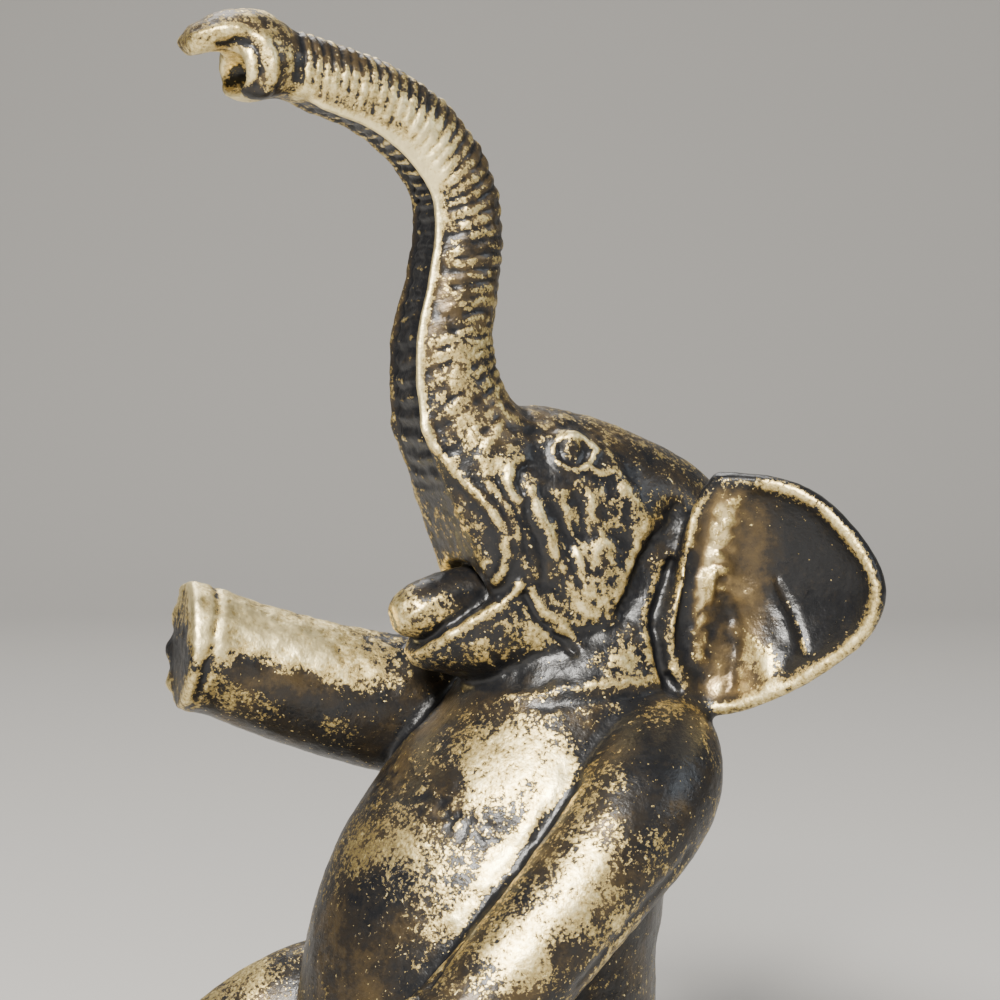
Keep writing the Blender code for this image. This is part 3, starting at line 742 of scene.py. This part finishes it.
eye_zone = np.zeros(len(points))
for side in (LEFT_SIDE, RIGHT_SIDE):
    strength = 1 if side == LEFT_SIDE else FAR_STRENGTH
    for height, width, path in BOTH_SIDES:
        stroked(height * strength, width, np.array(path) * (1, -side, 1))
    for height, width, path in EAR_STROKES:
        stroked(height, width, on_ear(side, path, EAR_THICKNESS / 2))
    eye = np.array(surface.find_nearest((EYE[0], side * 12.5, EYE[2]))[0])
    from_eye = np.linalg.norm(points - eye, axis=1)
    lift += 0.14 * stair(2.0 - from_eye, 0, 1.2) - 0.12 * np.exp(-(((from_eye - 2.1) / 0.35) ** 2))
    eye_zone = np.maximum(eye_zone, np.exp(-((from_eye / 1.8) ** 6)))
for height, width, path in LEFT_ONLY:
    stroked(height, width, np.array(path))
for side in (LEFT_SIDE, RIGHT_SIDE):
    stroked(0.45, 0.8, np.array(NOSTRIL_LIP) * (1, -side, 1))
    stroked(-0.35, 0.6, np.array(NOSTRIL_FURROW) * (1, -side, 1))
band(TRUNK, 8.6, -0.35, 1.1)
band(RIGHT_FORELEG, 1.0, 0.25, 0.8)
band(RIGHT_FORELEG, 2.6, -0.35, 0.7)
nails(RIGHT_FORELEG, (0, 1, 0.15), spread=0.6)
nails(LEFT_FORELEG, (-1, -0.3, 0.6))
nails(LEFT_HIND_LEG, (0, 0, 1))
nails(RIGHT_HIND_LEG, (0, 0, 1))

# The hide between the strokes is dabbed and uneven, more so on the face than on the body, and the
# cheeks are scored with fine streaks that run down and back.
face = stair(points[:, 2], 76, 84) * (1 - stair(points[:, 0], 26, 34)) * (1 - np.clip(ridge_paint * 2, 0, 1))
on_base = 1 - stair(points[:, 2], -1.2, 0.4)
dabs = clay_noise(points, 3.4) + 0.6 * clay_noise(points, 1.7, 5.0) + 0.35 * clay_noise(points, 1.0, 9.0)
lift += (0.1 + 0.13 * face) * dabs * (1 - 0.7 * on_base)
cheek = np.exp(-(((points[:, 0] - 15) / 8) ** 2 + ((points[:, 2] - 100) / 11) ** 2))
cheek *= stair(np.abs(points[:, 1]), 8, 11)
down = points @ (0.40, 0, -0.92)
over = points @ (0.92, 0, 0.40)
streaks = clay_noise(np.column_stack([over / 0.8, points[:, 1] / 0.8, down / 2.4]), 1.0, 51.0)
lift += 0.2 * cheek * streaks
points = points + normals * lift[:, None] + push
points[:, 2] = np.maximum(points[:, 2], -BASE_HEIGHT)
flat_under = points[:, 2] < 0.35 - BASE_HEIGHT
points[flat_under, 2] = -BASE_HEIGHT
set_points(casting_mesh, points)

# How the patina has worn: rubbed away where the metal stands out, kept in every hollow, and with large
# patches that are handled more or less. A few patches are painted highlights instead: on the left ear's
# front fold, and, together with rubbed gold, high on the trunk and low on the left foreleg. The painted
# shade along the trunk's underside is added to this value too. Each patch is its strength, its radius and
# its place, and each stroke its strength, its width and its path.
WEAR_AND_HIGHLIGHT_PATCHES = (
    (-1.2, 5.5, (-38, 28, 84)),
    (0.32, 4.5, (13, -13, 105)),
    (0.3, 5.2, (17, -13, 100)),
    (0.12, 4.5, (18, -14, 94)),
    (0.15, 3.8, (14, -13, 93)),
    (0.5, 3.0, (16, -13, 90)),
    (0.5, 3.3, (20, -15, 84)),
    (0.45, 2.7, (24, -16, 83)),
    (0.5, 3.8, (9, -11, 87)),
    (0.25, 2.1, (-9, -2, 90)),
    (0.3, 1.2, (-5, -5, 92)),
    (-0.35, 5.0, (-2, 0, 94)),
    (1.5, 5.0, (-33, 0, 169)),
    # Rubbed gold and a painted highlight, high on the trunk.
    (0.55, 5.2, (-10, -4, 158)),
    (0.4, 3.8, (-5, -5, 156)),
    (0.5, 3.8, (40, -20, 85)),
    (0.5, 2.7, (42, -23, 82)),
    # Painted highlight along the left ear's front fold.
    (0.15, 2.1, (36, -18, 104)),
    (0.1, 1.5, (34, -17, 97)),
    (0.7, 3.6, (-31, 18, 84)),
    (0.45, 5.2, (-26, 20, 88)),
    (0.4, 5.2, (-20, 18, 85)),
    (0.4, 4.5, (-14, 17, 84)),
    (0.4, 5.2, (0, -10, 72)),
    (0.45, 6.0, (5, -16, 72)),
    (0.4, 4.5, (10, -21, 69)),
    (0.4, 4.5, (0, -17, 67)),
    (0.35, 5.2, (-16, 0, 56)),
    (0.4, 6.0, (-12, -10, 58)),
    (0.35, 3.8, (-9, -17, 55)),
    (0.4, 3.8, (7, -22, 65)),
    (0.4, 3.8, (-2, -21, 57)),
    (0.4, 3.8, (-9, -20, 48)),
    # Rubbed gold and a painted highlight on the left foreleg's outer side.
    (0.75, 5.2, (-5, -34, 47)),
    (0.45, 6.0, (8, -34, 58)),
    (0.45, 4.5, (2, -34, 53)),
    (0.4, 4.5, (11, -33, 46)),
    (0.4, 6.0, (-24, 25, 32)),
    (0.25, 4.5, (29, -6, 116)),
    (0.3, 3.0, (7, -12, 107)),
    (0.3, 3.8, (-1, -9, 116)),
    (0.3, 3.0, (3, -11, 112)),
    (-0.5, 3.8, (-1, 2, 75)),
    (-0.6, 2.4, (12, -12, 111)),
    (-0.5, 2.2, (1, -4, 81)),
    (-0.5, 2.2, (5, -6, 81)),
    (-0.7, 6.8, (22, -29, 71)),
    (-0.45, 6.8, (-20, -7, 42)),
    (-0.35, 5.2, (26, -17, 45)),
    (-0.5, 3.8, (-18, 16, 74)),
    (-0.6, 1.5, (-26, 17, 81)),
    (-0.6, 1.5, (-18, 16, 79)),
    (-0.6, 6.8, (45, -23, 94)),
    (-0.6, 5.2, (42, -19, 92)),
    (-0.5, 3.0, (49, -28, 92)),
    (-0.4, 2.1, (0, -6, 155)),
    (-0.5, 1.5, (2, -7, 144)),
    (-0.5, 2.1, (-3, -7, 135)),
    (-0.5, 3.3, (11, -35, 56)),
    (-0.5, 2.7, (2, -36, 46)),
    (-0.4, 1.5, (7, -35, 51)),
    (-0.4, 2.1, (14, -33, 64)),
    (-0.5, 2.1, (-5, -11, 67)),
    (-0.5, 2.4, (25, -12, 92)),
    (-0.6, 2.4, (1, -6, 94)),
    (-0.4, 1.8, (9, -11, 112)),
)
FAR_PATCHES = (  # on the back, the right side and the hind legs
    (0.4, 9.0, (14, 13, 100)),
    (0.4, 6.0, (40, 20, 84)),
    (-0.5, 8.0, (44, 22, 94)),
    (0.4, 9.0, (34, 0, 66)),
    (0.3, 12.0, (30, 10, 24)),
    (0.3, 9.0, (24, -20, 22)),
    (-0.3, 12.0, (28, 22, 48)),
    (0.4, 7.0, (6, 30, 76)),
    (0.35, 8.0, (-6, 34, 28)),
    (0.3, 7.0, (-36, -26, 16)),
    (0.3, 7.0, (-30, 26, 24)),
    (0.3, 6.0, (40, 0, 108)),
)
WORN_STROKES = (
    (-1.3, 1.7, (
        (-40, 1, 168.6), (-39.4, -1.5, 167.6), (-37.6, -3.4, 166), (-33.5, -4.4, 165.4),
        (-29.5, -4.6, 164.6),
    )),
    (0.3, 0.55, EYELIDS),
    (0.3, 0.7, LID_CREASE),
    (0.4, 2.2, (
        (9, -21, 69), (4.4, -21, 62.7), (-0.4, -21, 57.1), (-4.2, -21.2, 53),
        (-8.4, -21.4, 48.4), (-13, -23, 43),
    )),
    (-0.35, 1.2, (
        (9.6, -23.1, 66.9), (5.7, -23.1, 62.3), (1.0, -23.7, 56.7), (-2.6, -24.2, 53.0),
        (-7.2, -24.0, 48.0), (-10.9, -25.0, 44.5),
    )),
    (-0.4, 1.0, ((38.1, -15.6, 87.8), (37.6, -16.1, 84.6), (37.8, -16.7, 81.1), (37.6, -17.6, 78.0))),
    (-0.3, 1.0, ((6.6, -12, 106.8), (8.2, -12.3, 102.4), (9.6, -12.1, 97.2), (9.4, -11.8, 95.4))),
    (-0.4, 2.0, ((-1, -2, 80), (5, -8, 80.5), (12, -12, 82), (18, -13, 86))),
)


def standing_out(points, links, normals, passes):
    """How far each point stands out from its surroundings, smoothed over this many passes."""
    first, second = links.T
    count = np.maximum(np.bincount(links.ravel(), minlength=len(points)), 1)[:, None]
    smooth = points.copy()
    for _ in range(passes):
        total = np.empty_like(smooth)
        for k in range(3):
            total[:, k] = np.bincount(first, smooth[second, k], len(points))
            total[:, k] += np.bincount(second, smooth[first, k], len(points))
        smooth = 0.4 * smooth + 0.6 * total / count
    return ((points - smooth) * normals).sum(axis=1)


links = np.empty(len(casting_mesh.edges) * 2, np.int32)
casting_mesh.edges.foreach_get("vertices", links)
links = links.reshape(-1, 2)
normals = normals_of(casting_mesh)
fine = standing_out(points, links, normals, 6)
broad = standing_out(points, links, normals, 40)
edge_wear = 2.6 - 1.4 * np.clip(trunk_wear_and_shade * 2.4, 0, 1)
wear_and_painted_light = 0.24 + edge_wear * np.clip(fine, -0.12, 0.07) + 0.62 * np.clip(broad, -0.6, 0.35)
for strength, radius, middle in WEAR_AND_HIGHLIGHT_PATCHES + FAR_PATCHES:
    from_middle = np.linalg.norm(points - np.array(middle, float), axis=1)
    wear_and_painted_light += 0.7 * strength * np.exp(-((from_middle / radius) ** 2))

# The raised leg is gold along its top, dark along its middle, a little golden below that and dark
# underneath.
LEG_RADIUS = 9.5
leg = through(RIGHT_FORELEG, 6)
above = (points[:, 2] - np.interp(-points[:, 0], -leg[:, 0], leg[:, 2])) / LEG_RADIUS
on_leg = stair(2.0 - points[:, 0], 0, 12) * stair(points[:, 2], 66, 72) * stair(points[:, 1], 8, 15)
on_leg *= stair(104 - points[:, 2], 0, 6)
leg_wear = 0.34 * stair(above, 0.0, 0.5) - 0.35 * np.exp(-(((above + 0.15) / 0.2) ** 2))
leg_wear += 0.14 * np.exp(-(((above + 0.6) / 0.22) ** 2)) - 0.15 * stair(-above, 0.8, 1.0)
wear_and_painted_light += on_leg * leg_wear
# This adds the trunk's wear and the painted shade along its underside.
wear_and_painted_light += 0.45 * ridge_paint + trunk_wear_and_shade
wear_and_painted_light += 0.16 * clay_noise(points, 9.0, 21.0) + 0.12 * clay_noise(points, 4.0, 23.0)
wear_and_painted_light -= 0.25 * on_base
for strength, width, path in WORN_STROKES:
    wear_and_painted_light += strength * np.exp(-((distance(points, through(path, 4)) / width) ** 2))
wear_and_painted_light += 0.3 * cheek * streaks
wear_and_painted_light += eye_zone * (0.38 + 0.3 * clay_noise(points, 0.9, 61.0) - wear_and_painted_light)

# On the ears the wear follows the rim, and the film over the inner half of the bowl is thin and brown, with
# a painted highlight in bright gold along the front fold. Elsewhere it is thinnest high on the trunk, and
# thick in the hollows and on the left shoulder, and painted shade darkens it along the trunk's underside.
# The path of the painted highlight along the front fold of each ear, given on the left ear.
EAR_FOLD_HIGHLIGHT = (
    (36.5, -18.4, 105),
    (35.2, -17.8, 101),
    (34.0, -17.2, 96.5),
    (33.0, -16.4, 91),
    (32.6, -16.0, 85.5),
)
FILM_AND_HIGHLIGHT_TOP = 1.25  # the most that the film may be thinned; above 1 it is the painted highlight on the ear folds
bent = np.column_stack([points[:, 0], np.abs(points[:, 1])]) - EAR_ROOT[:2] - EAR_BEND * np.array(EAR_START)
ear_out = EAR_BEND + bent @ (math.cos(EAR_SWEEP), math.sin(EAR_SWEEP))
ear_up = points[:, 2] - EAR_ROOT[2]
ear_off = bent @ (-math.sin(EAR_SWEEP), math.cos(EAR_SWEEP))
outline = EAR_EDGE - EAR_MIDDLE
bearing = np.arctan2(outline[:, 1], outline[:, 0])
order = np.argsort(bearing)
here = np.column_stack([ear_out, ear_up]) - EAR_MIDDLE
edge_there = np.interp(
    np.arctan2(here[:, 1], here[:, 0]), bearing[order], np.hypot(*outline.T)[order], period=2 * math.pi
)
ear_share = np.hypot(*here.T) / edge_there
on_the_ear = stair(1.12 - ear_share, 0, 0.06) * stair(ear_out, -1.5, 1.5)
on_the_ear *= stair(6.5 - np.abs(ear_off), 0, 1.5) * stair(np.abs(points[:, 1]), 14.5, 16.5)
outer_edge = stair(ear_share, 0.955, 1.0)
ear_wear = 0.22 * np.exp(-(((ear_share - 0.9) / 0.05) ** 2)) - 0.42 * outer_edge * stair(ear_up, -12, -2)
ear_wear -= 0.15 * stair(0.84 - ear_share, 0, 0.08) * stair(ear_out, 7, 14)
ear_wear += 0.1 * stair(-ear_up, 8, 16) * stair(0.9 - ear_share, 0, 0.1)
ear_wear -= 0.3 * stair(ear_up, 5, 10) * stair(14 - ear_out, 0, 6) * stair(ear_share, 0.8, 0.88)
wear_and_painted_light += on_the_ear * ear_wear
for side in (LEFT_SIDE, RIGHT_SIDE):
    crease = laid(on_ear(side, EAR_CREASE, EAR_THICKNESS / 2))
    wear_and_painted_light += 0.3 * np.exp(-((distance(points, crease) / 0.9) ** 2))
thin_film_and_painted_light = 0.82 * on_the_ear * stair(16.0 - ear_out, 0, 9.0) * stair(0.9 - ear_share, -0.02, 0.08)
thin_film_and_painted_light += 0.5 * stair(points[:, 2], 84, 90) * (1 - on_the_ear) * (0.4 + 0.6 * stair(points[:, 2], 112, 118))
thin_film_and_painted_light += 0.35 * stair(84 - points[:, 2], 0, 6)
thin_film_and_painted_light += (0.4 * clay_noise(points, 7.0, 41.0) + 0.2 * clay_noise(points, 3.0, 43.0)) * (1 - 0.75 * on_the_ear)
# The first term is painted shade, darkening the film along the trunk's underside; the second thickens the
# film on the left shoulder.
thin_film_and_painted_light -= 0.5 * underside_shade + 0.4 * np.exp(-((np.linalg.norm(points - (22, -29, 71), axis=1) / 8.0) ** 2))
fold_highlight_path = through(EAR_FOLD_HIGHLIGHT, 4)
mirrored = points * (1, -1, 1)
fold_highlight = np.exp(-((np.minimum(distance(points, fold_highlight_path), distance(mirrored, fold_highlight_path)) / 1.9) ** 2))
thin_film_and_painted_light -= np.clip(-2.5 * broad - 3.0 * fine, 0, 0.7) * (1 - 0.45 * on_the_ear)
# Painted highlight: the film value is pushed past 1 along the ear's front fold, where it shows as bright
# gold.
thin_film_and_painted_light += 0.7 * fold_highlight * on_the_ear
for name, values in (("wear_and_painted_light", wear_and_painted_light), ("thin_film_and_painted_light", np.clip(thin_film_and_painted_light, 0, FILM_AND_HIGHLIGHT_TOP))):
    kept = casting_mesh.attributes.new(name, "FLOAT", "POINT")
    kept.data.foreach_set("value", values.astype(np.float32))

triangles = sum(len(face.vertices) - 2 for face in casting_mesh.polygons)
casting = bpy.data.objects.new("casting_in_full", casting_mesh)
bpy.context.scene.collection.objects.link(casting)
lighter = casting.modifiers.new("fewer_triangles", "DECIMATE")
lighter.ratio = min(1.0, TRIANGLES / triangles)
finished = bpy.data.meshes.new_from_object(casting.evaluated_get(bpy.context.evaluated_depsgraph_get()))
bpy.data.objects.remove(casting)
finished.name = "elephant_casting"

# The clay's own origin is set where the solid has it, behind the base's front edge and on its top.
low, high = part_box("elephant")
behind_front = (BASE_SIZE[0] / 2 + BASE_AHEAD) / MM_IN_M
to_place = Matrix.Translation((low[0] + behind_front, 0, BASE_HEIGHT / MM_IN_M))
finished.transform(to_place @ Matrix.Scale(1 / MM_IN_M, 4))
finished.polygons.foreach_set("use_smooth", [True] * len(finished.polygons))
casting = bpy.data.objects.new("elephant_casting", finished)
bpy.context.scene.collection.objects.link(casting)

# The metal: dark glossy film over brass, bare where the wear value passes a level that noise makes ragged,
# and brown or golden where the film value lets the brass show through the film. The wear value also carries
# painted highlights and the trunk underside's painted shade; the film value carries that shade too, and the
# ear folds' painted highlight, which reaches the bright gold top of the film's colours.
brass = bpy.data.materials.new("worn_brass")
brass.use_nodes = True
nodes = brass.node_tree.nodes
wires = brass.node_tree.links
shader = nodes["Principled BSDF"]


def node(kind, **settings):
    made = nodes.new(kind)
    for name, value in settings.items():
        setattr(made, name, value)
    return made


def math_node(operation, *values, clamp=False):
    made = node("ShaderNodeMath", operation=operation, use_clamp=clamp)
    for socket, value in zip(made.inputs, values):
        if isinstance(value, (int, float)):
            socket.default_value = value
        else:
            wires.new(value, socket)
    return made.outputs[0]


def grain(size, detail, roughness, seed=0.0):
    """Noise in the metal, with lumps this many millimetres wide."""
    made = node("ShaderNodeTexNoise", noise_dimensions="4D")
    made.inputs["Scale"].default_value = MM_IN_M / size
    made.inputs["Detail"].default_value = detail
    made.inputs["Roughness"].default_value = roughness
    made.inputs["W"].default_value = seed
    wires.new(in_metal.outputs["Object"], made.inputs["Vector"])
    return made.outputs["Fac"]


def ramp(value, stops):
    made = node("ShaderNodeValToRGB")
    while len(made.color_ramp.elements) < len(stops):
        made.color_ramp.elements.new(0.5)
    for element, (position, color) in zip(made.color_ramp.elements, stops):
        element.position = position
        element.color = (*color, 1)
    wires.new(value, made.inputs["Fac"])
    return made.outputs["Color"]


in_metal = node("ShaderNodeTexCoord")
# The wear value carries painted highlights and painted shade as well as wear, and the film value painted
# shade and the ear folds' painted highlight.
wear_and_light_there = node("ShaderNodeAttribute", attribute_name="wear_and_painted_light").outputs["Fac"]
film_and_light_there = node("ShaderNodeAttribute", attribute_name="thin_film_and_painted_light").outputs["Fac"]
patches = grain(2.1, 9, 0.78)
specks = grain(0.55, 3, 0.65, 4.0)
pits = math_node("SUBTRACT", grain(0.8, 4, 0.7, 6.0), 0.6, clamp=True)
level = math_node("ADD", wear_and_light_there, math_node("MULTIPLY", math_node("SUBTRACT", patches, 0.5), 1.4))
level = math_node("ADD", level, math_node("MULTIPLY", math_node("SUBTRACT", specks, 0.5), 1.4))
level = math_node("SUBTRACT", level, math_node("MULTIPLY", pits, 2.4))
flecks = math_node("SUBTRACT", grain(0.6, 2, 0.5, 15.0), 0.64, clamp=True)
level = math_node("ADD", level, math_node("MULTIPLY", flecks, 7.0))
bare_and_painted_light = ramp(level, ((0.43, (0, 0, 0)), (0.53, (1, 1, 1))))
gold = ramp(
    level,
    (
        (0.42, (0.13, 0.09, 0.036)),
        (0.54, (0.40, 0.30, 0.115)),
        (0.72, (0.68, 0.54, 0.245)),
        (0.96, (0.92, 0.785, 0.43)),
    ),
)
clouds = math_node("MULTIPLY", math_node("SUBTRACT", grain(1.6, 6, 0.75, 12.0), 0.42), 1.3)
clouds = math_node("MULTIPLY", clouds, math_node("SUBTRACT", 1.0, math_node("MULTIPLY", film_and_light_there, 0.65)))
# Scaled so that only the ear folds' painted highlight reaches the top of the film's colours.
film_and_painted_light = math_node("MULTIPLY", math_node("ADD", film_and_light_there, clouds), 0.8, clamp=True)


def mixed(share, low, high):
    """One colour over the other, by a value that changes over the metal."""
    made = node("ShaderNodeMix", data_type="RGBA")
    wires.new(share, made.inputs["Factor"])
    for socket, value in ((made.inputs[6], low), (made.inputs[7], high)):
        if isinstance(value, tuple):
            socket.default_value = (*value, 1)
        else:
            wires.new(value, socket)
    return made.outputs[2]


dark = ramp(
    film_and_painted_light,
    (
        (0.12, (0.006, 0.0062, 0.0072)),
        (0.36, (0.018, 0.0145, 0.011)),
        (0.62, (0.085, 0.060, 0.030)),
        (0.8, (0.22, 0.155, 0.072)),
        # This top stop, bright gold, is the colour of the painted highlight along the ear folds.
        (1.0, (0.80, 0.64, 0.33)),
    ),
)
wires.new(mixed(bare_and_painted_light, dark, gold), shader.inputs["Base Color"])
film_metallic_and_highlight = math_node("MULTIPLY", math_node("SUBTRACT", film_and_painted_light, 0.2, clamp=True), 1.4, clamp=True)
wires.new(math_node("MAXIMUM", bare_and_painted_light, film_metallic_and_highlight), shader.inputs["Metallic"])
gloss = math_node("MULTIPLY_ADD", grain(1.4, 4, 0.6, 9.0), 0.34, 0.16)
wires.new(math_node("ADD", gloss, math_node("MULTIPLY", bare_and_painted_light, 0.14)), shader.inputs["Roughness"])
shader.inputs["IOR"].default_value = 1.4
relief = math_node("MULTIPLY", bare_and_painted_light, -0.5)
relief = math_node("ADD", relief, math_node("MULTIPLY", specks, 0.7))
relief = math_node("ADD", relief, math_node("MULTIPLY", grain(1.1, 4, 0.6, 2.0), 1.4))
bump = node("ShaderNodeBump")
bump.inputs["Strength"].default_value = 0.55
bump.inputs["Distance"].default_value = 0.00016
wires.new(relief, bump.inputs["Height"])
wires.new(bump.outputs["Normal"], shader.inputs["Normal"])
finished.materials.clear()
finished.materials.append(brass)
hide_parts("elephant")
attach(casting, "root")
